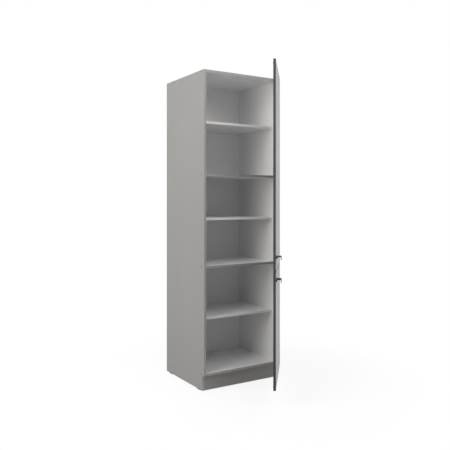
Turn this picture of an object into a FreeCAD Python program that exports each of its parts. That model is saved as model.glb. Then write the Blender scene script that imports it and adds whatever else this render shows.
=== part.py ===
import FreeCAD, Part
import math
import os

# Tall kitchen cabinet with two doors, in millimetres.
# Working axes: x to the right, y to the back from the carcass front, z up from the floor.

# Carcass
WIDTH = 600.0
DEPTH = 560.0
HEIGHT = 2137.0
BOARD = 16.0
GLIDE_HEIGHT = 5.0
BOTTOM_LEVEL = 105.0
TOE_RECESS = 23.0
FIXED_DEPTH = 466.0
UPPER_FIXED_LEVEL = 1431.0
LOWER_FIXED_LEVEL = 819.0

# Back boards
BACK_THICK = 3.0
BACK_GROOVE_DEPTH = 8.0
BACK_GROOVE_SLACK = 0.2
BACK_END_SLACK = 0.5
BACK_SPLIT_GAP = 2.0

# Wall rail
RAIL_HEIGHT = 100.0
RAIL_HOLE_SPACING = 400.0
RAIL_HOLE_R = 3.5

# Adjustable shelves
TOP_SHELF_LEVEL = 1785.0
MIDDLE_SHELF_LEVEL = 1136.0
LOWER_SHELF_LEVEL = 471.0
SHELF_SETBACK = 40.0
SHELF_SIDE_SLACK = 1.0
SHELF_BACK_SLACK = 2.0
PIN_INSET = 60.0
PIN_PEG_R = 2.5
PIN_PEG_LENGTH = 8.0
PIN_PLATE_REACH = 9.0
PIN_PLATE_WIDTH = 12.0
PIN_PLATE_THICK = 3.0
PIN_FLANGE_THICK = 1.5
PIN_FLANGE_DROP = 11.0
PIN_PEG_DROP = 7.0

# Doors
DOOR_THICK = 16.0
DOOR_GAP = 2.5
DOOR_REVEAL = 1.5
DOOR_BAND = 1.0
DOOR_BOTTOM_OVERHANG = 2.0
DOOR_TOP_REVEAL = 1.0
DOORS_APART = 5.0
DOOR_OPEN_DEG = 50.5

# Hinges
HINGE_FROM_END = 95.0
AXIS_OUTSIDE = 2.8
AXIS_FORWARD = 1.25
KNUCKLE_R = 2.5
KNUCKLE_HALF = 20.0
DOOR_KNUCKLE_HALF = 9.0
KNUCKLE_GAP = 0.3
HINGE_PIN_R = 1.2
HINGE_PIN_HEAD_R = 2.1
HINGE_PIN_HEAD = 1.0
ARM_THICK = 1.4
ARM_TONGUE = 1.2
ARM_REACH = 24.0
ARM_HALF = 25.0
ARM_FRONT_RELIEF = 0.8
ARM_CORNER_R = 6.0
ARM_SCREW_Y = 12.5
ARM_SCREW_HALF = 16.0
ARM_SCREW_R = 3.0
ARM_SCREW_LENGTH = 12.0
ARM_SCREW_HEAD_R = 4.0
ARM_SCREW_HEAD = 2.0
LEAF_THICK = 1.2
LEAF_HALF = 30.0
LEAF_CORNER_R = 8.0
LEAF_START = 17.5
LEAF_WIDTH = 39.0
CUP_FROM_EDGE = 36.5
CUP_R = 17.3
CUP_DEPTH = 11.0
CUP_WALL = 1.0
CUP_HOLE_R = 17.5
CUP_HOLE_DEPTH = 11.5
LEAF_SCREW_HALF = 24.0
LEAF_SCREW_R = 1.7
LEAF_SCREW_LENGTH = 12.0
LEAF_SCREW_HEAD_R = 3.5
LEAF_SCREW_HEAD = 1.8

# Handles
HANDLE_LENGTH = 90.0
HANDLE_BACK_DROP = 14.0
HANDLE_REACH = 31.5
HANDLE_WALL = 2.0
HANDLE_LIP = 21.5
HANDLE_OUTER_R = 3.0
HANDLE_FROM_EDGE = 16.0
HANDLE_SCREW_HALF = 32.0
HANDLE_SCREW_R = 2.0
HANDLE_SCREW_DROP = 8.5
HANDLE_SCREW_HEAD_R = 4.0
HANDLE_SCREW_HEAD = 2.2
HANDLE_SCREW_BITE = 5.0
HANDLE_BOSS_R = 4.0
HANDLE_BOSS_REACH = 7.0
HANDLE_DOOR_HOLE_R = 2.25
UPPER_HANDLE_RISE = 91.5
LOWER_HANDLE_DROP = 44.0

# Door bumpers
BUMPER_R = 4.0
BUMPER_THICK = 2.0
BUMPER_FROM_EDGE = 7.5
BUMPER_FROM_END = 25.0

# Carcass screws
SCREW_FRONT_Y = 36.0
SCREW_BACK_INSET = 18.0
SCREW_R = 3.5
SCREW_LENGTH = 50.0
SCREW_HEAD_R = 5.0
SCREW_HEAD = 4.2
SCREW_SOCKET_R = 2.3
SCREW_SOCKET_DEPTH = 2.5

# Dowels
DOWEL_R = 4.0
DOWEL_IN_SIDE = 12.0
DOWEL_IN_END = 18.0
DOWEL_END_SLACK = 0.5
PLINTH_DOWEL_INSET = 25.0
RAIL_DOWEL_INSET = 20.0

# Back nails
NAIL_R = 0.8
NAIL_LENGTH = 20.0
NAIL_HEAD_R = 2.0
NAIL_HEAD = 0.5
NAILS_EACH_SIDE = 2
NAIL_SPLIT_OFFSET = 4.0

# Glides
GLIDE_LENGTH = 50.0
GLIDE_WIDTH = 14.0
GLIDE_FRONT_Y = 78.0
GLIDE_BACK_INSET = 65.0
GLIDE_PEG_HALF = 15.0
GLIDE_PEG_R = 2.5
GLIDE_PEG_LENGTH = 10.0
GLIDE_EDGE_R = 1.0

# Clearance of a fixed round piece in its hole
FIT = 0.05

# Values worked out from the sizes
OUT_X = WIDTH / 2
IN_X = OUT_X - BOARD
TOP_LEVEL = HEIGHT - BOARD
DOOR_X = OUT_X - DOOR_REVEAL
DOOR_IN_Y = -DOOR_GAP
DOOR_OUT_Y = -DOOR_GAP - DOOR_THICK
AXIS_X = OUT_X + AXIS_OUTSIDE
AXIS_Y = -AXIS_FORWARD
BACK_Y = FIXED_DEPTH + BACK_THICK
SPLIT_LEVEL = LOWER_FIXED_LEVEL + BOARD / 2
LOWER_DOOR_BOTTOM = BOTTOM_LEVEL - DOOR_BOTTOM_OVERHANG
LOWER_DOOR_TOP = SPLIT_LEVEL - DOORS_APART / 2
UPPER_DOOR_BOTTOM = SPLIT_LEVEL + DOORS_APART / 2
UPPER_DOOR_TOP = HEIGHT - DOOR_TOP_REVEAL
UPPER_DOOR_MIDDLE = (UPPER_DOOR_BOTTOM + UPPER_DOOR_TOP) / 2
LOWER_HINGE_LEVELS = (LOWER_DOOR_BOTTOM + HINGE_FROM_END, LOWER_DOOR_TOP - HINGE_FROM_END)
UPPER_HINGE_ENDS = (UPPER_DOOR_BOTTOM + HINGE_FROM_END, UPPER_DOOR_TOP - HINGE_FROM_END)
UPPER_HINGE_LEVELS = (UPPER_HINGE_ENDS[0], UPPER_DOOR_MIDDLE, UPPER_HINGE_ENDS[1])
UPPER_HANDLE_TOP = UPPER_DOOR_BOTTOM + UPPER_HANDLE_RISE
LOWER_HANDLE_TOP = LOWER_DOOR_TOP - LOWER_HANDLE_DROP
CUP_X = DOOR_X - CUP_FROM_EDGE
LEAF_X1 = DOOR_X - LEAF_START
LEAF_X0 = LEAF_X1 - LEAF_WIDTH
PLINTH_Y = TOE_RECESS + BOARD / 2
REAR_PLINTH_Y = FIXED_DEPTH - BOARD / 2
RAIL_Y = DEPTH - BOARD / 2
SCREW_BACK_Y = FIXED_DEPTH - SCREW_BACK_INSET
GLIDE_BACK_Y = DEPTH - GLIDE_BACK_INSET
FIXED_LEVELS = (BOTTOM_LEVEL, LOWER_FIXED_LEVEL, UPPER_FIXED_LEVEL, TOP_LEVEL)
SHELF_LEVELS = (TOP_SHELF_LEVEL, MIDDLE_SHELF_LEVEL, LOWER_SHELF_LEVEL)
SHELF_BACK_Y = FIXED_DEPTH - SHELF_BACK_SLACK
PIN_YS = (SHELF_SETBACK + PIN_INSET, SHELF_BACK_Y - PIN_INSET)
PLINTH_DOWEL_LEVELS = (GLIDE_HEIGHT + PLINTH_DOWEL_INSET, BOTTOM_LEVEL - PLINTH_DOWEL_INSET)
RAIL_DOWEL_LEVELS = (HEIGHT - RAIL_DOWEL_INSET, HEIGHT - RAIL_HEIGHT + RAIL_DOWEL_INSET)
NAIL_SPACING = WIDTH / (2 * NAILS_EACH_SIDE + 1)
NAIL_XS = tuple(NAIL_SPACING * i for i in range(-NAILS_EACH_SIDE, NAILS_EACH_SIDE + 1))
HANDLE_X = -DOOR_X + HANDLE_FROM_EDGE + HANDLE_LENGTH / 2
HANDLE_INNER_R = HANDLE_OUTER_R - HANDLE_WALL

# The datum is the floor under the centre of the front left glide
DATUM = FreeCAD.Vector(-OUT_X + BOARD / 2, GLIDE_FRONT_Y, 0)

X_AXIS = FreeCAD.Vector(1, 0, 0)
Y_AXIS = FreeCAD.Vector(0, 1, 0)
Z_AXIS = FreeCAD.Vector(0, 0, 1)


def box(x0, x1, y0, y1, z0, z1):
    corner = FreeCAD.Vector(min(x0, x1), min(y0, y1), min(z0, z1))
    return Part.makeBox(abs(x1 - x0), abs(y1 - y0), abs(z1 - z0), corner)


def rod(x, y, z, r, length, direction):
    return Part.makeCylinder(r, length, FreeCAD.Vector(x, y, z), direction)


def joined(first, *others):
    return first.fuse(list(others)).removeSplitter()


def without(shape, cuts):
    return shape.cut(cuts) if cuts else shape


def rounded(shape, radius, chosen):
    edges = [edge for edge in shape.Edges if chosen(edge)]
    return shape.makeFillet(radius, edges)


def lies_along(edge, axis):
    direction = edge.tangentAt(edge.FirstParameter)
    return edge.Curve.TypeId == "Part::GeomLine" and abs(direction.dot(axis)) > 0.999


def prism(points, direction):
    return Part.Face(Part.makePolygon(points + points[:1])).extrude(direction)


# Carcass boards

def confirmat_places():
    return [(y, level + BOARD / 2) for level in FIXED_LEVELS for y in (SCREW_FRONT_Y, SCREW_BACK_Y)]


def dowel_places():
    front = [(PLINTH_Y, z) for z in PLINTH_DOWEL_LEVELS]
    rear = [(REAR_PLINTH_Y, z) for z in PLINTH_DOWEL_LEVELS]
    return front + rear


def rail_dowel_places():
    return [(RAIL_Y, z) for z in RAIL_DOWEL_LEVELS]


def glide_pegs(side, y):
    return [(side * (OUT_X - BOARD / 2), y + d) for d in (-GLIDE_PEG_HALF, GLIDE_PEG_HALF)]


def side_panel(side):
    inward = X_AXIS * -side
    outward = X_AXIS * side
    panel = box(side * IN_X, side * OUT_X, 0, DEPTH, GLIDE_HEIGHT, HEIGHT)
    cuts = [box(-WIDTH, WIDTH, -BOARD, TOE_RECESS, 0, BOTTOM_LEVEL)]
    groove_y0 = FIXED_DEPTH - BACK_GROOVE_SLACK
    groove_y1 = BACK_Y + BACK_GROOVE_SLACK
    groove_x = side * (IN_X + BACK_GROOVE_DEPTH)
    cuts.append(box(side * (IN_X - BOARD), groove_x, groove_y0, groove_y1, BOTTOM_LEVEL, HEIGHT + BOARD))
    for y, z in confirmat_places():
        cuts.append(rod(side * OUT_X, y, z, SCREW_R + FIT, BOARD, inward))
        cuts.append(rod(side * OUT_X, y, z, SCREW_HEAD_R + FIT, SCREW_HEAD + FIT, inward))
    for level in SHELF_LEVELS:
        for y in PIN_YS:
            depth = PIN_PEG_LENGTH + FIT
            cuts.append(rod(side * IN_X, y, level - PIN_PEG_DROP, PIN_PEG_R + FIT, depth, outward))
    for y, z in dowel_places() + rail_dowel_places():
        cuts.append(rod(side * IN_X, y, z, DOWEL_R + FIT, DOWEL_IN_SIDE + DOWEL_END_SLACK, outward))
    for y in (GLIDE_FRONT_Y, GLIDE_BACK_Y):
        for px, py in glide_pegs(side, y):
            cuts.append(rod(px, py, GLIDE_HEIGHT, GLIDE_PEG_R + FIT, GLIDE_PEG_LENGTH + FIT, Z_AXIS))
    if side > 0:
        for level in LOWER_HINGE_LEVELS + UPPER_HINGE_LEVELS:
            for dz in (-ARM_SCREW_HALF, ARM_SCREW_HALF):
                depth = ARM_SCREW_LENGTH + FIT
                cuts.append(rod(IN_X, ARM_SCREW_Y, level + dz, ARM_SCREW_R + FIT, depth, outward))
    return without(panel, cuts)


def nail_rows(level):
    if level == LOWER_FIXED_LEVEL:
        return (SPLIT_LEVEL - NAIL_SPLIT_OFFSET, SPLIT_LEVEL + NAIL_SPLIT_OFFSET)
    return (level + BOARD / 2,)


def fixed_panel(level):
    panel = box(-IN_X, IN_X, 0, FIXED_DEPTH, level, level + BOARD)
    cuts = []
    reach = SCREW_LENGTH - BOARD + FIT
    for side in (-1, 1):
        for y in (SCREW_FRONT_Y, SCREW_BACK_Y):
            cuts.append(rod(side * IN_X, y, level + BOARD / 2, SCREW_R + FIT, reach, X_AXIS * -side))
    depth = NAIL_LENGTH - BACK_THICK + FIT
    for z in nail_rows(level):
        for x in NAIL_XS:
            cuts.append(rod(x, FIXED_DEPTH, z, NAIL_R + FIT, depth, Y_AXIS * -1))
    return without(panel, cuts)


def cross_board(y0, z0, z1, dowel_levels):
    board = box(-IN_X, IN_X, y0, y0 + BOARD, z0, z1)
    cuts = []
    for side in (-1, 1):
        for z in dowel_levels:
            depth = DOWEL_IN_END + DOWEL_END_SLACK
            cuts.append(rod(side * IN_X, y0 + BOARD / 2, z, DOWEL_R + FIT, depth, X_AXIS * -side))
    return without(board, cuts)


def wall_rail():
    board = cross_board(DEPTH - BOARD, HEIGHT - RAIL_HEIGHT, HEIGHT, RAIL_DOWEL_LEVELS)
    z = HEIGHT - RAIL_HEIGHT / 2
    cuts = []
    for x in (-RAIL_HOLE_SPACING / 2, RAIL_HOLE_SPACING / 2):
        cuts.append(rod(x, DEPTH - BOARD, z, RAIL_HOLE_R, BOARD, Y_AXIS))
    return without(board, cuts)


def back_board(z0, z1, nail_levels):
    reach = IN_X + BACK_GROOVE_DEPTH - BACK_END_SLACK
    board = box(-reach, reach, FIXED_DEPTH, BACK_Y, z0, z1)
    cuts = []
    for z in nail_levels:
        for x in NAIL_XS:
            cuts.append(rod(x, FIXED_DEPTH, z, NAIL_R + FIT, BACK_THICK, Y_AXIS))
    return without(board, cuts)


# Fasteners

def confirmat_screws(side):
    screws = []
    inward = X_AXIS * -side
    for y, z in confirmat_places():
        x = side * OUT_X
        shank = rod(x, y, z, SCREW_R, SCREW_LENGTH, inward)
        head = rod(x, y, z, SCREW_HEAD_R, SCREW_HEAD, inward)
        corners = []
        for i in range(6):
            angle = math.radians(60 * i)
            dy = SCREW_SOCKET_R * math.cos(angle)
            dz = SCREW_SOCKET_R * math.sin(angle)
            corners.append(FreeCAD.Vector(x, y + dy, z + dz))
        socket = prism(corners, inward * SCREW_SOCKET_DEPTH)
        screws.append(joined(shank, head).cut(socket))
    return Part.makeCompound(screws)


def dowels(places):
    length = DOWEL_IN_SIDE + DOWEL_IN_END
    pegs = []
    for side in (-1, 1):
        for y, z in places:
            pegs.append(rod(side * (IN_X + DOWEL_IN_SIDE), y, z, DOWEL_R, length, X_AXIS * -side))
    return Part.makeCompound(pegs)


def back_nails():
    nails = []
    for level in FIXED_LEVELS:
        for z in nail_rows(level):
            for x in NAIL_XS:
                shank = rod(x, BACK_Y, z, NAIL_R, NAIL_LENGTH, Y_AXIS * -1)
                head = rod(x, BACK_Y, z, NAIL_HEAD_R, NAIL_HEAD, Y_AXIS)
                nails.append(joined(shank, head))
    return Part.makeCompound(nails)


# Glides under the side panels

def glide(side, y):
    x = side * (OUT_X - BOARD / 2)
    half = GLIDE_LENGTH / 2 - GLIDE_WIDTH / 2
    middle = box(x - GLIDE_WIDTH / 2, x + GLIDE_WIDTH / 2, y - half, y + half, 0, GLIDE_HEIGHT)
    ends = [rod(x, y + d, 0, GLIDE_WIDTH / 2, GLIDE_HEIGHT, Z_AXIS) for d in (-half, half)]
    body = joined(middle, *ends)
    body = rounded(body, GLIDE_EDGE_R, lambda edge: edge.BoundBox.ZMax < GLIDE_HEIGHT / 2)
    pegs = [rod(px, py, GLIDE_HEIGHT, GLIDE_PEG_R, GLIDE_PEG_LENGTH, Z_AXIS) for px, py in glide_pegs(side, y)]
    return joined(body, *pegs)


# Adjustable shelves and their pins

def shelf(level):
    reach = IN_X - SHELF_SIDE_SLACK
    return box(-reach, reach, SHELF_SETBACK, SHELF_BACK_Y, level, level + BOARD)


def shelf_pins(level):
    pins = []
    for side in (-1, 1):
        for y in PIN_YS:
            y0 = y - PIN_PLATE_WIDTH / 2
            y1 = y + PIN_PLATE_WIDTH / 2
            plate = box(side * IN_X, side * (IN_X - PIN_PLATE_REACH), y0, y1, level - PIN_PLATE_THICK, level)
            flange = box(side * IN_X, side * (IN_X - PIN_FLANGE_THICK), y0, y1, level - PIN_FLANGE_DROP, level)
            peg = rod(side * IN_X, y, level - PIN_PEG_DROP, PIN_PEG_R, PIN_PEG_LENGTH, X_AXIS * side)
            pins.append(joined(plate, flange, peg))
    return Part.makeCompound(pins)


# Doors, built closed and then swung open

def swung(shape):
    turned = shape.copy()
    turned.rotate(FreeCAD.Vector(AXIS_X, AXIS_Y, 0), Z_AXIS, DOOR_OPEN_DEG)
    return turned


def handle_screw_xs():
    return (HANDLE_X - HANDLE_SCREW_HALF, HANDLE_X + HANDLE_SCREW_HALF)


def door(bottom, top, hinge_levels, handle_top):
    x = DOOR_X - DOOR_BAND
    core = box(-x, x, DOOR_OUT_Y, DOOR_IN_Y, bottom + DOOR_BAND, top - DOOR_BAND)
    cuts = []
    outward = Y_AXIS * -1
    for level in hinge_levels:
        cuts.append(rod(CUP_X, DOOR_IN_Y, level, CUP_HOLE_R, CUP_HOLE_DEPTH, outward))
        for dz in (-LEAF_SCREW_HALF, LEAF_SCREW_HALF):
            cuts.append(rod(CUP_X, DOOR_IN_Y, level + dz, LEAF_SCREW_R + FIT, LEAF_SCREW_LENGTH + FIT, outward))
    for hx in handle_screw_xs():
        z = handle_top - HANDLE_SCREW_DROP
        cuts.append(rod(hx, DOOR_IN_Y, z, HANDLE_DOOR_HOLE_R, DOOR_THICK, outward))
    return swung(without(core, cuts))


def door_bands(bottom, top):
    strips = []
    inner = DOOR_X - DOOR_BAND
    for side in (-1, 1):
        strips.append(box(side * inner, side * DOOR_X, DOOR_OUT_Y, DOOR_IN_Y, bottom, top))
    for z0 in (bottom, top - DOOR_BAND):
        strips.append(box(-inner, inner, DOOR_OUT_Y, DOOR_IN_Y, z0, z0 + DOOR_BAND))
    return swung(Part.makeCompound(strips))


def bumpers(bottom, top):
    x = -DOOR_X + BUMPER_FROM_EDGE
    pads = []
    for z in (bottom + BUMPER_FROM_END, top - BUMPER_FROM_END):
        pads.append(rod(x, DOOR_IN_Y, z, BUMPER_R, BUMPER_THICK, Y_AXIS))
    return swung(Part.makeCompound(pads))


# Handles: a bent channel open at the bottom, screwed on from behind the door

def handle(top):
    x0 = HANDLE_X - HANDLE_LENGTH / 2

    def at(reach, drop):
        return FreeCAD.Vector(x0, DOOR_OUT_Y - reach, top - drop)

    def corner(reach, drop, radius, start):
        points = []
        for degrees in (start, start + 45, start + 90):
            angle = math.radians(degrees)
            points.append(at(reach + radius * math.cos(angle), drop - radius * math.sin(angle)))
        return points

    wall = HANDLE_WALL
    reach = HANDLE_REACH
    bend = reach - HANDLE_OUTER_R
    tip = wall / 2
    outer = corner(bend, HANDLE_OUTER_R, HANDLE_OUTER_R, 0)
    front = corner(bend, HANDLE_OUTER_R, HANDLE_INNER_R, 0)
    back = corner(wall + HANDLE_INNER_R, HANDLE_OUTER_R, HANDLE_INNER_R, 90)
    lip_end = HANDLE_LIP - tip
    back_end = HANDLE_BACK_DROP - tip
    edges = [
        Part.makeLine(at(0, HANDLE_BACK_DROP), at(0, 0)),
        Part.makeLine(at(0, 0), outer[2]),
        Part.Arc(outer[2], outer[1], outer[0]).toShape(),
        Part.makeLine(outer[0], at(reach, lip_end)),
        Part.Arc(at(reach, lip_end), at(reach - tip, HANDLE_LIP), at(reach - wall, lip_end)).toShape(),
        Part.makeLine(at(reach - wall, lip_end), front[0]),
        Part.Arc(front[0], front[1], front[2]).toShape(),
        Part.makeLine(front[2], back[0]),
        Part.Arc(back[0], back[1], back[2]).toShape(),
        Part.makeLine(back[2], at(wall, back_end)),
        Part.makeLine(at(wall, back_end), at(tip, HANDLE_BACK_DROP)),
        Part.makeLine(at(tip, HANDLE_BACK_DROP), at(0, HANDLE_BACK_DROP)),
    ]
    channel = Part.Face(Part.Wire(edges)).extrude(X_AXIS * HANDLE_LENGTH)
    z = top - HANDLE_SCREW_DROP
    outward = Y_AXIS * -1
    bosses = [rod(hx, DOOR_OUT_Y, z, HANDLE_BOSS_R, HANDLE_BOSS_REACH, outward) for hx in handle_screw_xs()]
    depth = HANDLE_SCREW_BITE + FIT
    holes = [rod(hx, DOOR_OUT_Y, z, HANDLE_SCREW_R + FIT, depth, outward) for hx in handle_screw_xs()]
    return swung(joined(channel, *bosses).cut(holes))


def handle_screws(top):
    screws = []
    z = top - HANDLE_SCREW_DROP
    for hx in handle_screw_xs():
        shank = rod(hx, DOOR_IN_Y, z, HANDLE_SCREW_R, DOOR_THICK + HANDLE_SCREW_BITE, Y_AXIS * -1)
        head = rod(hx, DOOR_IN_Y, z, HANDLE_SCREW_HEAD_R, HANDLE_SCREW_HEAD, Y_AXIS)
        screws.append(joined(shank, head))
    return swung(Part.makeCompound(screws))


# Hinges: an arm on the right side panel, a cup leaf in the door and a pin on the axis

def knuckle(z0, z1):
    return rod(AXIS_X, AXIS_Y, z0, KNUCKLE_R, z1 - z0, Z_AXIS)


def pin_bore(level):
    return rod(AXIS_X, AXIS_Y, level - KNUCKLE_HALF, HINGE_PIN_R + FIT, 2 * KNUCKLE_HALF, Z_AXIS)


def hinge_arm(level):
    x0 = IN_X - ARM_THICK
    plate = box(x0, IN_X, ARM_FRONT_RELIEF, ARM_REACH, level - ARM_HALF, level + ARM_HALF)
    plate = rounded(
        plate,
        ARM_CORNER_R,
        lambda edge: lies_along(edge, X_AXIS) and edge.BoundBox.YMin > ARM_REACH / 2,
    )
    pieces = []
    low = DOOR_KNUCKLE_HALF + KNUCKLE_GAP
    for z0, z1 in ((level + low, level + KNUCKLE_HALF), (level - KNUCKLE_HALF, level - low)):
        pieces.append(box(x0, IN_X, -ARM_TONGUE, ARM_FRONT_RELIEF, z0, z1))
        pieces.append(box(x0, AXIS_X, -ARM_TONGUE, 0, z0, z1))
        pieces.append(knuckle(z0, z1))
    cuts = [pin_bore(level)]
    for dz in (-ARM_SCREW_HALF, ARM_SCREW_HALF):
        cuts.append(rod(x0, ARM_SCREW_Y, level + dz, ARM_SCREW_R + FIT, ARM_THICK, X_AXIS))
    return joined(plate, *pieces).cut(cuts)


def arm_screws():
    screws = []
    x = IN_X - ARM_THICK
    for level in LOWER_HINGE_LEVELS + UPPER_HINGE_LEVELS:
        for dz in (-ARM_SCREW_HALF, ARM_SCREW_HALF):
            z = level + dz
            shank = rod(x, ARM_SCREW_Y, z, ARM_SCREW_R, ARM_SCREW_LENGTH + ARM_THICK, X_AXIS)
            head = rod(x, ARM_SCREW_Y, z, ARM_SCREW_HEAD_R, ARM_SCREW_HEAD, X_AXIS * -1)
            screws.append(joined(shank, head))
    return Part.makeCompound(screws)


def hinge_cup(level):
    y1 = DOOR_IN_Y + LEAF_THICK
    leaf = box(LEAF_X0, LEAF_X1, DOOR_IN_Y, y1, level - LEAF_HALF, level + LEAF_HALF)
    leaf = rounded(leaf, LEAF_CORNER_R, lambda edge: lies_along(edge, Y_AXIS))
    half = DOOR_KNUCKLE_HALF
    tongue = box(LEAF_X1 - LEAF_CORNER_R, AXIS_X, DOOR_IN_Y, y1, level - half, level + half)
    cup = rod(CUP_X, DOOR_IN_Y, level, CUP_R, CUP_DEPTH, Y_AXIS * -1)
    hollow_depth = CUP_DEPTH - CUP_WALL + LEAF_THICK
    hollow = rod(CUP_X, y1, level, CUP_R - CUP_WALL, hollow_depth, Y_AXIS * -1)
    cuts = [hollow, pin_bore(level)]
    for dz in (-LEAF_SCREW_HALF, LEAF_SCREW_HALF):
        cuts.append(rod(CUP_X, DOOR_IN_Y, level + dz, LEAF_SCREW_R + FIT, LEAF_THICK, Y_AXIS))
    shape = joined(leaf, tongue, knuckle(level - half, level + half), cup).cut(cuts)
    return swung(shape)


def leaf_screws(levels):
    screws = []
    y = DOOR_IN_Y + LEAF_THICK
    for level in levels:
        for dz in (-LEAF_SCREW_HALF, LEAF_SCREW_HALF):
            shank = rod(CUP_X, y, level + dz, LEAF_SCREW_R, LEAF_SCREW_LENGTH + LEAF_THICK, Y_AXIS * -1)
            head = rod(CUP_X, y, level + dz, LEAF_SCREW_HEAD_R, LEAF_SCREW_HEAD, Y_AXIS)
            screws.append(joined(shank, head))
    return swung(Part.makeCompound(screws))


def hinge_pins():
    pins = []
    for level in LOWER_HINGE_LEVELS + UPPER_HINGE_LEVELS:
        low = level - KNUCKLE_HALF
        high = level + KNUCKLE_HALF
        stem = rod(AXIS_X, AXIS_Y, low, HINGE_PIN_R, 2 * KNUCKLE_HALF, Z_AXIS)
        foot = rod(AXIS_X, AXIS_Y, low, HINGE_PIN_HEAD_R, HINGE_PIN_HEAD, Z_AXIS * -1)
        head = rod(AXIS_X, AXIS_Y, high, HINGE_PIN_HEAD_R, HINGE_PIN_HEAD, Z_AXIS)
        pins.append(joined(stem, foot, head))
    return Part.makeCompound(pins)


# Every piece under its own name

def all_pieces():
    yield "left_side_panel", side_panel(-1)
    yield "right_side_panel", side_panel(1)
    yield "bottom_panel", fixed_panel(BOTTOM_LEVEL)
    yield "lower_fixed_shelf", fixed_panel(LOWER_FIXED_LEVEL)
    yield "upper_fixed_shelf", fixed_panel(UPPER_FIXED_LEVEL)
    yield "top_panel", fixed_panel(TOP_LEVEL)
    lower_nails = (BOTTOM_LEVEL + BOARD / 2, SPLIT_LEVEL - NAIL_SPLIT_OFFSET)
    upper_nails = (SPLIT_LEVEL + NAIL_SPLIT_OFFSET, UPPER_FIXED_LEVEL + BOARD / 2, TOP_LEVEL + BOARD / 2)
    yield "lower_back_board", back_board(BOTTOM_LEVEL, SPLIT_LEVEL - BACK_SPLIT_GAP / 2, lower_nails)
    yield "upper_back_board", back_board(SPLIT_LEVEL + BACK_SPLIT_GAP / 2, HEIGHT, upper_nails)
    yield "plinth_board", cross_board(TOE_RECESS, GLIDE_HEIGHT, BOTTOM_LEVEL, PLINTH_DOWEL_LEVELS)
    rear_y = FIXED_DEPTH - BOARD
    yield "rear_plinth_board", cross_board(rear_y, GLIDE_HEIGHT, BOTTOM_LEVEL, PLINTH_DOWEL_LEVELS)
    yield "wall_rail", wall_rail()
    yield "left_carcass_screws", confirmat_screws(-1)
    yield "right_carcass_screws", confirmat_screws(1)
    yield "plinth_dowels", dowels(dowel_places())
    yield "rail_dowels", dowels(rail_dowel_places())
    yield "back_nails", back_nails()
    for side, side_name in ((-1, "left"), (1, "right")):
        for y, end in ((GLIDE_FRONT_Y, "front"), (GLIDE_BACK_Y, "rear")):
            yield f"{end}_{side_name}_glide", glide(side, y)
    for name, level in zip(("top", "middle", "lower"), SHELF_LEVELS):
        yield f"{name}_shelf", shelf(level)
        yield f"{name}_shelf_pins", shelf_pins(level)
    doors = (
        ("lower", LOWER_DOOR_BOTTOM, LOWER_DOOR_TOP, LOWER_HINGE_LEVELS, LOWER_HANDLE_TOP),
        ("upper", UPPER_DOOR_BOTTOM, UPPER_DOOR_TOP, UPPER_HINGE_LEVELS, UPPER_HANDLE_TOP),
    )
    for name, bottom, top, levels, handle_top in doors:
        yield f"{name}_door", door(bottom, top, levels, handle_top)
        yield f"{name}_door_bands", door_bands(bottom, top)
        yield f"{name}_door_bumpers", bumpers(bottom, top)
        yield f"{name}_handle", handle(handle_top)
        yield f"{name}_handle_screws", handle_screws(handle_top)
        yield f"{name}_hinge_leaf_screws", leaf_screws(levels)
        for number, level in enumerate(levels, 1):
            yield f"{name}_hinge_{number}_arm", hinge_arm(level)
            yield f"{name}_hinge_{number}_cup", hinge_cup(level)
    yield "hinge_arm_screws", arm_screws()
    yield "hinge_pins", hinge_pins()


os.makedirs("parts", exist_ok=True)
for node, shape in all_pieces():
    shape.translate(DATUM * -1)
    shape.exportStep(f"parts/{node}.step")
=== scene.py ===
import math

import bpy
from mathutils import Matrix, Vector

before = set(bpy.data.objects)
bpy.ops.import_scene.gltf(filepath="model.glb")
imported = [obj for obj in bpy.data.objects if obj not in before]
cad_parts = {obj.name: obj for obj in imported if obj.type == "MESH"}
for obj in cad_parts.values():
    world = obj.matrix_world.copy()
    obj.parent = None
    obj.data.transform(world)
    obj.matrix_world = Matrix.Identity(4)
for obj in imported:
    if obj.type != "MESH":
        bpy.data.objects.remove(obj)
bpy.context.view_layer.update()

# Camera, from the photograph's two vanishing points
IMAGE_SIZE = 450.0
SENSOR_WIDTH = 36.0
FOCAL_PIXELS = 573.8
HORIZON_ROW = 202.2
CAMERA_PLACE = (-1.882, -3.373, 1.257)
CAMERA_TURN_DEG = 31.72
LEVEL_LOOK_DEG = 90.0

# Points that the lamps look at
CABINET_MIDDLE = (0.2, 0.1, 1.2)
CABINET_REAR = (0.3, 0.2, 1.2)
UPPER_HALF = (0.2, 0.1, 1.6)
TOP_COMPARTMENT = (0.3, 0.3, 2.1)
TOP_UNDERSIDE = (0.2, 0.1, 2.12)
PLINTH_RIGHT = (0.4, 0.0, 0.1)

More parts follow.
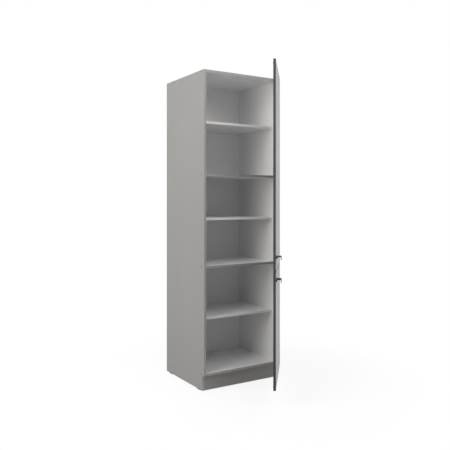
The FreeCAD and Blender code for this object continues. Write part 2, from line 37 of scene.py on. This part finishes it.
# Light: an even sky and soft lamps, each with its place, the point it looks at, its size and its power
SKY_STRENGTH = 0.22
LAMP_COLOUR = (1.0, 0.985, 0.965)
LAMPS = {
    "soft_left": ((-3.2, 0.6, 2.2), CABINET_MIDDLE, 2.0, 52.0),
    "soft_left_front": ((-3.0, -1.2, 1.9), CABINET_MIDDLE, 1.2, 23.5),
    "soft_top_front": ((-0.6, -2.2, 3.8), CABINET_MIDDLE, 1.8, 27.0),
    "soft_top_left": ((-2.4, -0.6, 3.6), CABINET_MIDDLE, 1.8, 44.5),
    "soft_top_right": ((0.9, -2.4, 3.2), UPPER_HALF, 1.2, 26.0),
    "soft_front_fill": ((-0.15, -0.9, 1.75), TOP_COMPARTMENT, 0.5, 0.70),
    "soft_low_fill": ((0.0, -1.2, 0.9), TOP_UNDERSIDE, 0.5, 0.85),
    "soft_low_right": ((1.6, -2.6, 0.45), PLINTH_RIGHT, 0.8, 6.0),
    "soft_right": ((3.8, 1.2, 2.6), CABINET_REAR, 2.6, 46.0),
    "soft_back": ((0.4, 4.4, 2.2), CABINET_REAR, 2.6, 80.0),
}

# Plain white surroundings, as the camera, mirrors and glass see them
WHITE = (1.0, 1.0, 1.0, 1.0)
WHITE_STRENGTH = 1.0

# Floor, with a shadow that fades out between two distances from its middle
FLOOR_HALF = 9.0
FLOOR_COLOUR = (0.60, 0.60, 0.59)
FLOOR_SHOWN_COLOUR = (0.95, 0.95, 0.95)
FLOOR_SHADOW_SHARE = 0.15
FLOOR_SHADOW_MIDDLE = (0.3, 0.1, 0.0)
FLOOR_SHADOW_NEAR = 0.7
FLOOR_SHADOW_FAR = 1.5

# Surface colours, as linear red, green and blue
CARCASS_GREY = (0.265, 0.2615, 0.257)
FRONT_EDGE_GREY = (0.335, 0.330, 0.325)
INSIDE_WHITE = (0.857, 0.856, 0.859)
DOOR_GREY = (0.378, 0.374, 0.367)
BAND_DARK = (0.066, 0.0587, 0.0600)
CHIP_PALE = (0.42, 0.30, 0.18)
CHIP_DARK = (0.20, 0.125, 0.065)
FIBRE_BROWN = (0.215, 0.125, 0.066)
BEECH = (0.52, 0.34, 0.19)
NICKEL_SATIN = (0.050, 0.047, 0.046)
NICKEL_BRIGHT = (0.62, 0.61, 0.59)
ZINC_DULL = (0.30, 0.30, 0.31)
ZINC_DARK = (0.150, 0.148, 0.145)
BLACK_PLASTIC = (0.016, 0.016, 0.017)
PIN_WHITE = (0.80, 0.80, 0.79)
PAD_MILKY = (0.60, 0.60, 0.58)

# Grain of the finishes in metres: size across, radius of wear along edges and depth of relief
PEARL_SIZE = 0.0014
PEARL_DEPTH = 0.00008
SPECKLE_SIZE = 0.006
BOARD_CLOUD_SIZE = 0.35
BOARD_WEAR_RADIUS = 0.0009
TRIM_LINE_SIZE = 0.0008
TRIM_LINE_DEPTH = 0.00003
BAND_CLOUD_SIZE = 0.12
BAND_WEAR_RADIUS = 0.0008
CHIP_SIZE = 0.0035
CHIP_DEPTH = 0.0004
DUST_SIZE = 0.0012
FIBRE_SIZE = 0.0022
FIBRE_DEPTH = 0.00012
FIBRE_CLOUD_SIZE = 0.22
BRUSH_LINE_SIZE = 0.0005
BRUSH_LINE_DEPTH = 0.00003
METAL_CLOUD_SIZE = 0.02
METAL_WEAR_RADIUS = 0.0006
WOOD_GRAIN_SIZE = 0.0016
WOOD_GRAIN_DEPTH = 0.0001
GLIDE_GRAIN_SIZE = 0.0009
PIN_GRAIN_SIZE = 0.0006
PAD_GRAIN_SIZE = 0.0007
PLASTIC_GRAIN_DEPTH = 0.00006
PLASTIC_CLOUD_SIZE = 0.02
PLASTIC_WEAR_RADIUS = 0.0005

# How far grain is drawn out along x, y and z
NO_STRETCH = (1.0, 1.0, 1.0)
TRIM_LINE_STRETCH = (40.0, 1.0, 40.0)
CHIP_STRETCH = (1.6, 1.6, 1.6)
WOOD_GRAIN_STRETCH = (14.0, 1.0, 1.0)
HANDLE_LINE_STRETCH = (60.0, 60.0, 1.0)
HINGE_LINE_STRETCH = (6.0, 6.0, 6.0)
SCREW_LINE_STRETCH = (1.5, 1.5, 1.5)

# Ranges that values are spread from: a noise, a sum of two, and the cosine of an edge's turn
ONE_NOISE = (0.3, 0.7)
TWO_NOISES = (0.7, 1.3)
EDGE_TURN = (0.75, 0.995)
EDGE_SAMPLES = 6

# Sockets of a mix of colours, which share their names with those of other kinds
MIX_FIRST = 6
MIX_SECOND = 7
MIX_RESULT = 2

# Directions of faces, and the cosine above which a face looks the same way
RIGHT = Vector((1.0, 0.0, 0.0))
LEFT = -RIGHT
BACK = Vector((0.0, 1.0, 0.0))
FRONT = -BACK
UP = Vector((0.0, 0.0, 1.0))
DOWN = -UP
DOOR_OPEN = math.radians(50.5)
DOOR_OUTSIDE = Vector((math.sin(DOOR_OPEN), -math.cos(DOOR_OPEN), 0.0))
DOOR_INSIDE = -DOOR_OUTSIDE
SAME_WAY = 0.95


# Colour made darker or paler by a share, with full cover
def tint(colour, share):
    return tuple(part * share for part in colour) + (1.0,)


# A material, with short calls for the nodes that feed its shader
class Finish:
    def __init__(self, name, metallic=0.0, specular=0.5):
        self.material = bpy.data.materials.new(name)
        self.material.use_nodes = True
        self.tree = self.material.node_tree
        self.shader = self.tree.nodes["Principled BSDF"]
        self.shader.inputs["Metallic"].default_value = metallic
        self.shader.inputs["Specular IOR Level"].default_value = specular
        self.place = self.add("ShaderNodeTexCoord").outputs["Object"]
        self.soft_edge = None

    def add(self, kind):
        return self.tree.nodes.new(kind)

    def feed(self, socket, value):
        if isinstance(value, bpy.types.NodeSocket):
            self.tree.links.new(value, socket)
        else:
            socket.default_value = value

    def texture(self, kind, size, stretch):
        sized = self.add("ShaderNodeMapping")
        self.feed(sized.inputs["Vector"], self.place)
        sized.inputs["Scale"].default_value = [1.0 / (size * part) for part in stretch]
        node = self.add(kind)
        self.feed(node.inputs["Vector"], sized.outputs["Vector"])
        node.inputs["Scale"].default_value = 1.0
        return node

    def noise(self, size, detail=2.0, roughness=0.5, stretch=NO_STRETCH):
        node = self.texture("ShaderNodeTexNoise", size, stretch)
        node.inputs["Detail"].default_value = detail
        node.inputs["Roughness"].default_value = roughness
        return node.outputs["Fac"]

    def math(self, operation, first, second):
        node = self.add("ShaderNodeMath")
        node.operation = operation
        self.feed(node.inputs[0], first)
        self.feed(node.inputs[1], second)
        return node.outputs["Value"]

    def spread(self, value, low, high, source=ONE_NOISE):
        node = self.add("ShaderNodeMapRange")
        self.feed(node.inputs["Value"], value)
        for socket, limit in zip(("From Min", "From Max", "To Min", "To Max"), (*source, low, high)):
            node.inputs[socket].default_value = limit
        return node.outputs["Result"]

    def mix(self, share, first, second):
        node = self.add("ShaderNodeMix")
        node.data_type = "RGBA"
        self.feed(node.inputs["Factor"], share)
        self.feed(node.inputs[MIX_FIRST], first)
        self.feed(node.inputs[MIX_SECOND], second)
        return node.outputs[MIX_RESULT]

    # Share that is 1 on edges and 0 on flats, and a rounded normal that the bump starts from
    def edges(self, radius):
        bevel = self.add("ShaderNodeBevel")
        bevel.samples = EDGE_SAMPLES
        bevel.inputs["Radius"].default_value = radius
        geometry = self.add("ShaderNodeNewGeometry")
        turn = self.add("ShaderNodeVectorMath")
        turn.operation = "DOT_PRODUCT"
        self.feed(turn.inputs[0], bevel.outputs["Normal"])
        self.feed(turn.inputs[1], geometry.outputs["Normal"])
        self.soft_edge = bevel.outputs["Normal"]
        return self.spread(turn.outputs["Value"], low=1.0, high=0.0, source=EDGE_TURN)

    # Colour between a dark and a pale tint, as a noise goes
    def shades(self, noise, colour, dark, pale):
        return self.mix(self.spread(noise, low=0.0, high=1.0), tint(colour, dark), tint(colour, pale))

    # Colour with a second one over it, at most by a share, as a noise goes
    def clouded(self, base, noise, most, second):
        return self.mix(self.spread(noise, low=0.0, high=most), base, second)

    # Colour with a paler tint rubbed along its edges
    def rubbed(self, base, colour, radius, share, pale):
        worn = self.math("MULTIPLY", self.edges(radius), share)
        return self.mix(worn, base, tint(colour, pale))

    def colour(self, value):
        self.feed(self.shader.inputs["Base Color"], value)

    def rough(self, value):
        self.feed(self.shader.inputs["Roughness"], value)

    def bump(self, height, depth, strength):
        node = self.add("ShaderNodeBump")
        node.inputs["Strength"].default_value = strength
        node.inputs["Distance"].default_value = depth
        self.feed(node.inputs["Height"], height)
        if self.soft_edge is not None:
            self.feed(node.inputs["Normal"], self.soft_edge)
        self.feed(self.shader.inputs["Normal"], node.outputs["Normal"])


# Printed board face with a fine pearl emboss, faint clouding and slightly worn edges
def melamine(name, colour, roughness):
    finish = Finish(name, specular=0.4)
    pearl = finish.noise(PEARL_SIZE, detail=3.0, roughness=0.6)
    speckle = finish.noise(SPECKLE_SIZE, detail=4.0, roughness=0.7)
    cloud = finish.noise(BOARD_CLOUD_SIZE, detail=3.0)
    fine = finish.shades(speckle, colour, dark=0.975, pale=1.02)
    shade = finish.clouded(fine, cloud, most=0.5, second=tint(colour, 0.965))
    finish.colour(finish.rubbed(shade, colour, BOARD_WEAR_RADIUS, share=0.35, pale=1.16))
    sheen = finish.math("ADD", pearl, cloud)
    finish.rough(finish.spread(sheen, low=roughness - 0.05, high=roughness + 0.08, source=TWO_NOISES))
    finish.bump(pearl, depth=PEARL_DEPTH, strength=0.6)
    return finish.material


# Plastic edge band, smoother than the faces, with fine lines left by trimming
def edge_band(name, colour, roughness, specular=0.45):
    finish = Finish(name, specular=specular)
    lines = finish.noise(TRIM_LINE_SIZE, stretch=TRIM_LINE_STRETCH)
    cloud = finish.noise(BAND_CLOUD_SIZE, detail=3.0)
    shade = finish.shades(cloud, colour, dark=0.95, pale=1.04)
    finish.colour(finish.rubbed(shade, colour, BAND_WEAR_RADIUS, share=0.45, pale=1.35))
    finish.rough(finish.spread(cloud, low=roughness - 0.05, high=roughness + 0.07))
    finish.bump(lines, depth=TRIM_LINE_DEPTH, strength=0.5)
    return finish.material


# Sawn particle board: pale and dark chips with dust between them
def particle_board(name):
    finish = Finish(name, specular=0.2)
    chips = finish.texture("ShaderNodeTexVoronoi", CHIP_SIZE, CHIP_STRETCH)
    dust = finish.noise(DUST_SIZE, detail=3.0)
    chip = finish.add("ShaderNodeSeparateColor")
    finish.feed(chip.inputs["Color"], chips.outputs["Color"])
    shade = finish.mix(chip.outputs["Red"], tint(CHIP_DARK, 1.0), tint(CHIP_PALE, 1.0))
    finish.colour(finish.clouded(shade, dust, most=0.45, second=tint(CHIP_PALE, 1.1)))
    finish.rough(finish.spread(dust, low=0.78, high=0.95))
    finish.bump(chips.outputs["Distance"], depth=CHIP_DEPTH, strength=0.5)
    return finish.material


# Hard fibreboard: matted brown fibres
def fibreboard(name):
    finish = Finish(name, specular=0.25)
    fibres = finish.noise(FIBRE_SIZE, detail=6.0, roughness=0.75)
    cloud = finish.noise(FIBRE_CLOUD_SIZE, detail=4.0)
    shade = finish.shades(fibres, FIBRE_BROWN, dark=0.82, pale=1.15)
    finish.colour(finish.clouded(shade, cloud, most=0.5, second=tint(FIBRE_BROWN, 0.85)))
    finish.rough(finish.spread(fibres, low=0.62, high=0.82))
    finish.bump(fibres, depth=FIBRE_DEPTH, strength=0.6)
    return finish.material


# Metal with fine lines along the given stretch, brighter rubbed edges and a tint for slanting reflections
def brushed_metal(name, colour, roughness, stretch, slant_tint=1.0):
    finish = Finish(name, metallic=1.0)
    finish.shader.inputs["Specular Tint"].default_value = (slant_tint, slant_tint, slant_tint, 1.0)
    lines = finish.noise(BRUSH_LINE_SIZE, detail=3.0, roughness=0.65, stretch=stretch)
    cloud = finish.noise(METAL_CLOUD_SIZE, detail=3.0)
    shade = finish.shades(lines, colour, dark=0.90, pale=1.06)
    finish.colour(finish.rubbed(shade, colour, METAL_WEAR_RADIUS, share=0.5, pale=1.3))
    sheen = finish.math("ADD", lines, cloud)
    finish.rough(finish.spread(sheen, low=roughness - 0.07, high=roughness + 0.09, source=TWO_NOISES))
    finish.bump(lines, depth=BRUSH_LINE_DEPTH, strength=0.5)
    return finish.material


# Round dowel of beech, with grain along its length
def beech(name):
    finish = Finish(name, specular=0.3)
    grain = finish.noise(WOOD_GRAIN_SIZE, detail=5.0, roughness=0.65, stretch=WOOD_GRAIN_STRETCH)
    finish.colour(finish.shades(grain, BEECH, dark=0.78, pale=1.08))
    finish.rough(finish.spread(grain, low=0.55, high=0.75))
    finish.bump(grain, depth=WOOD_GRAIN_DEPTH, strength=0.6)
    return finish.material


# Moulded plastic with a fine spark-eroded grain
def moulded_plastic(name, colour, roughness, grain_size, specular=0.5):
    finish = Finish(name, specular=specular)
    grain = finish.noise(grain_size, detail=3.0, roughness=0.6)
    cloud = finish.noise(PLASTIC_CLOUD_SIZE)
    shade = finish.shades(cloud, colour, dark=0.9, pale=1.1)
    finish.colour(finish.rubbed(shade, colour, PLASTIC_WEAR_RADIUS, share=0.4, pale=1.6))
    finish.rough(finish.spread(grain, low=roughness - 0.06, high=roughness + 0.08))
    finish.bump(grain, depth=PLASTIC_GRAIN_DEPTH, strength=0.6)
    return finish.material


GREY_FACE = melamine("carcass_grey_face", CARCASS_GREY, roughness=0.52)
WHITE_FACE = melamine("carcass_white_face", INSIDE_WHITE, roughness=0.50)
DOOR_FACE = melamine("door_face", DOOR_GREY, roughness=0.46)
DARK_FACE = melamine("door_dark_face", BAND_DARK, roughness=0.50)
GREY_BAND = edge_band("carcass_grey_band", FRONT_EDGE_GREY, roughness=0.45)
WHITE_BAND = edge_band("shelf_white_band", INSIDE_WHITE, roughness=0.45)
DARK_BAND = edge_band("door_dark_band", BAND_DARK, roughness=0.65, specular=0.05)
RAW_BOARD = particle_board("raw_particle_board")
RAW_BACK = fibreboard("raw_fibreboard")
HANDLE_METAL = brushed_metal(
    "handle_satin_nickel", NICKEL_SATIN, roughness=0.34, stretch=HANDLE_LINE_STRETCH, slant_tint=0.35
)
HINGE_METAL = brushed_metal(
    "hinge_nickel_plate", NICKEL_BRIGHT, roughness=0.26, stretch=HINGE_LINE_STRETCH
)
SCREW_METAL = brushed_metal("screw_zinc", ZINC_DULL, roughness=0.42, stretch=SCREW_LINE_STRETCH)
DARK_SCREW_METAL = brushed_metal(
    "screw_dark_zinc", ZINC_DARK, roughness=0.45, stretch=SCREW_LINE_STRETCH
)
DOWEL_WOOD = beech("dowel_beech")
GLIDE_PLASTIC = moulded_plastic(
    "glide_black_plastic", BLACK_PLASTIC, roughness=0.62, grain_size=GLIDE_GRAIN_SIZE, specular=0.15
)
PIN_PLASTIC = moulded_plastic("pin_white_plastic", PIN_WHITE, roughness=0.42, grain_size=PIN_GRAIN_SIZE)
PAD_PLASTIC = moulded_plastic("bumper_soft_plastic", PAD_MILKY, roughness=0.36, grain_size=PAD_GRAIN_SIZE)


# Give a node its first finish, and each face that looks a listed way the finish of that way
def paint(name, rest, *faced):
    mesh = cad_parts[name].data
    mesh.materials.clear()
    mesh.materials.append(rest)
    for finish, _ in faced:
        mesh.materials.append(finish)
    for polygon in mesh.polygons:
        polygon.material_index = 0
        for slot, (_, directions) in enumerate(faced, 1):
            if any(polygon.normal.dot(direction) > SAME_WAY for direction in directions):
                polygon.material_index = slot


paint("left_side_panel", RAW_BOARD, (GREY_FACE, [LEFT]), (WHITE_FACE, [RIGHT]), (GREY_BAND, [FRONT]))
paint("right_side_panel", RAW_BOARD, (GREY_FACE, [RIGHT]), (WHITE_FACE, [LEFT]), (GREY_BAND, [FRONT]))
paint("top_panel", RAW_BOARD, (GREY_FACE, [UP]), (WHITE_FACE, [DOWN]), (GREY_BAND, [FRONT]))
for board in ("bottom_panel", "lower_fixed_shelf", "upper_fixed_shelf"):
    paint(board, RAW_BOARD, (WHITE_FACE, [UP, DOWN]), (GREY_BAND, [FRONT]))
paint("plinth_board", RAW_BOARD, (GREY_FACE, [FRONT]), (WHITE_FACE, [BACK]))
for board in ("rear_plinth_board", "wall_rail"):
    paint(board, RAW_BOARD, (WHITE_FACE, [FRONT, BACK]))
for board in ("lower_back_board", "upper_back_board"):
    paint(board, RAW_BACK, (WHITE_FACE, [FRONT]))
for level in ("top", "middle", "lower"):
    paint(f"{level}_shelf", WHITE_BAND, (WHITE_FACE, [UP, DOWN]))
    paint(f"{level}_shelf_pins", PIN_PLASTIC)
for leaf in ("upper", "lower"):
    paint(f"{leaf}_door", RAW_BOARD, (DOOR_FACE, [DOOR_OUTSIDE]), (DARK_FACE, [DOOR_INSIDE]))
    paint(f"{leaf}_door_bands", DARK_BAND)
    paint(f"{leaf}_door_bumpers", PAD_PLASTIC)
    paint(f"{leaf}_handle", HANDLE_METAL)
    paint(f"{leaf}_handle_screws", SCREW_METAL)
    paint(f"{leaf}_hinge_leaf_screws", SCREW_METAL)
for hinge in ("upper_hinge_1", "upper_hinge_2", "upper_hinge_3", "lower_hinge_1", "lower_hinge_2"):
    paint(f"{hinge}_arm", HINGE_METAL)
    paint(f"{hinge}_cup", HINGE_METAL)
for steel in ("hinge_arm_screws", "hinge_pins", "back_nails"):
    paint(steel, SCREW_METAL)
for dowels in ("plinth_dowels", "rail_dowels"):
    paint(dowels, DOWEL_WOOD)
for side in ("left", "right"):
    paint(f"{side}_carcass_screws", DARK_SCREW_METAL)
    paint(f"front_{side}_glide", GLIDE_PLASTIC)
    paint(f"rear_{side}_glide", GLIDE_PLASTIC)


# Share of rays that show the plain white surroundings instead of the light
def shown_rays(tree):
    path = tree.nodes.new("ShaderNodeLightPath")
    total = path.outputs["Is Camera Ray"]
    for name in ("Is Glossy Ray", "Is Transmission Ray"):
        node = tree.nodes.new("ShaderNodeMath")
        node.operation = "MAXIMUM"
        tree.links.new(total, node.inputs[0])
        tree.links.new(path.outputs[name], node.inputs[1])
        total = node.outputs["Value"]
    return total


# The first shader, or the second by a share
def mix_shaders(tree, share, first, second):
    node = tree.nodes.new("ShaderNodeMixShader")
    tree.links.new(share, node.inputs["Fac"])
    tree.links.new(first, node.inputs[1])
    tree.links.new(second, node.inputs[2])
    return node.outputs["Shader"]


# Even soft light from all round
def make_world():
    world = bpy.data.worlds.new("studio")
    bpy.context.scene.world = world
    world.use_nodes = True
    tree = world.node_tree
    light = tree.nodes["Background"]
    light.inputs["Color"].default_value = WHITE
    light.inputs["Strength"].default_value = SKY_STRENGTH
    white = tree.nodes.new("ShaderNodeBackground")
    white.inputs["Color"].default_value = WHITE
    white.inputs["Strength"].default_value = WHITE_STRENGTH
    choice = mix_shaders(tree, shown_rays(tree), light.outputs["Background"], white.outputs["Background"])
    tree.links.new(choice, tree.nodes["World Output"].inputs["Surface"])


# Share of the shadow that shows on the floor, less with distance
def shadow_share(tree):
    place = tree.nodes.new("ShaderNodeTexCoord")
    away = tree.nodes.new("ShaderNodeVectorMath")
    away.operation = "DISTANCE"
    tree.links.new(place.outputs["Object"], away.inputs[0])
    away.inputs[1].default_value = FLOOR_SHADOW_MIDDLE
    fade = tree.nodes.new("ShaderNodeMapRange")
    fade.interpolation_type = "SMOOTHSTEP"
    tree.links.new(away.outputs["Value"], fade.inputs["Value"])
    fade.inputs["From Min"].default_value = FLOOR_SHADOW_NEAR
    fade.inputs["From Max"].default_value = FLOOR_SHADOW_FAR
    fade.inputs["To Min"].default_value = FLOOR_SHADOW_SHARE
    fade.inputs["To Max"].default_value = 0.0
    return fade.outputs["Result"]


# Matt shader of a colour
def matt(tree, colour):
    node = tree.nodes.new("ShaderNodeBsdfDiffuse")
    node.inputs["Color"].default_value = tint(colour, 1.0)
    return node.outputs["BSDF"]


# Pale floor that looks white and keeps a faint shadow
def make_floor():
    mesh = bpy.data.meshes.new("floor")
    ends = (-FLOOR_HALF, FLOOR_HALF)
    corners = [(x, y, 0.0) for y in ends for x in ends]
    mesh.from_pydata(corners, [], [(0, 1, 3, 2)])
    floor = bpy.data.objects.new("floor", mesh)
    bpy.context.scene.collection.objects.link(floor)
    material = bpy.data.materials.new("floor_pale")
    material.use_nodes = True
    tree = material.node_tree
    tree.nodes.remove(tree.nodes["Principled BSDF"])
    white = tree.nodes.new("ShaderNodeEmission")
    white.inputs["Color"].default_value = WHITE
    white.inputs["Strength"].default_value = WHITE_STRENGTH
    shown = matt(tree, FLOOR_SHOWN_COLOUR)
    seen = mix_shaders(tree, shadow_share(tree), white.outputs["Emission"], shown)
    choice = mix_shaders(tree, shown_rays(tree), matt(tree, FLOOR_COLOUR), seen)
    tree.links.new(choice, tree.nodes["Material Output"].inputs["Surface"])
    mesh.materials.append(material)


# Square lamps that light the object and stay out of sight
def make_lamps():
    for name, (place, aim, size, power) in LAMPS.items():
        light = bpy.data.lights.new(name, "AREA")
        light.size = size
        light.energy = power
        light.color = LAMP_COLOUR
        lamp = bpy.data.objects.new(name, light)
        bpy.context.scene.collection.objects.link(lamp)
        lamp.location = place
        lamp.visible_glossy = False
        lamp.visible_camera = False
        way = Vector(aim) - Vector(place)
        lamp.rotation_euler = way.to_track_quat("-Z", "Y").to_euler()


# Level camera, shifted so that the horizon falls on its row
def make_camera():
    lens = bpy.data.cameras.new("camera")
    lens.sensor_width = SENSOR_WIDTH
    lens.lens = FOCAL_PIXELS / IMAGE_SIZE * SENSOR_WIDTH
    lens.shift_y = (HORIZON_ROW - IMAGE_SIZE / 2) / IMAGE_SIZE
    camera = bpy.data.objects.new("camera", lens)
    bpy.context.scene.collection.objects.link(camera)
    camera.location = CAMERA_PLACE
    camera.rotation_euler = (math.radians(LEVEL_LOOK_DEG), 0.0, -math.radians(CAMERA_TURN_DEG))
    bpy.context.scene.camera = camera


make_world()
make_floor()
make_lamps()
make_camera()
bpy.context.scene.view_settings.view_transform = "Standard"
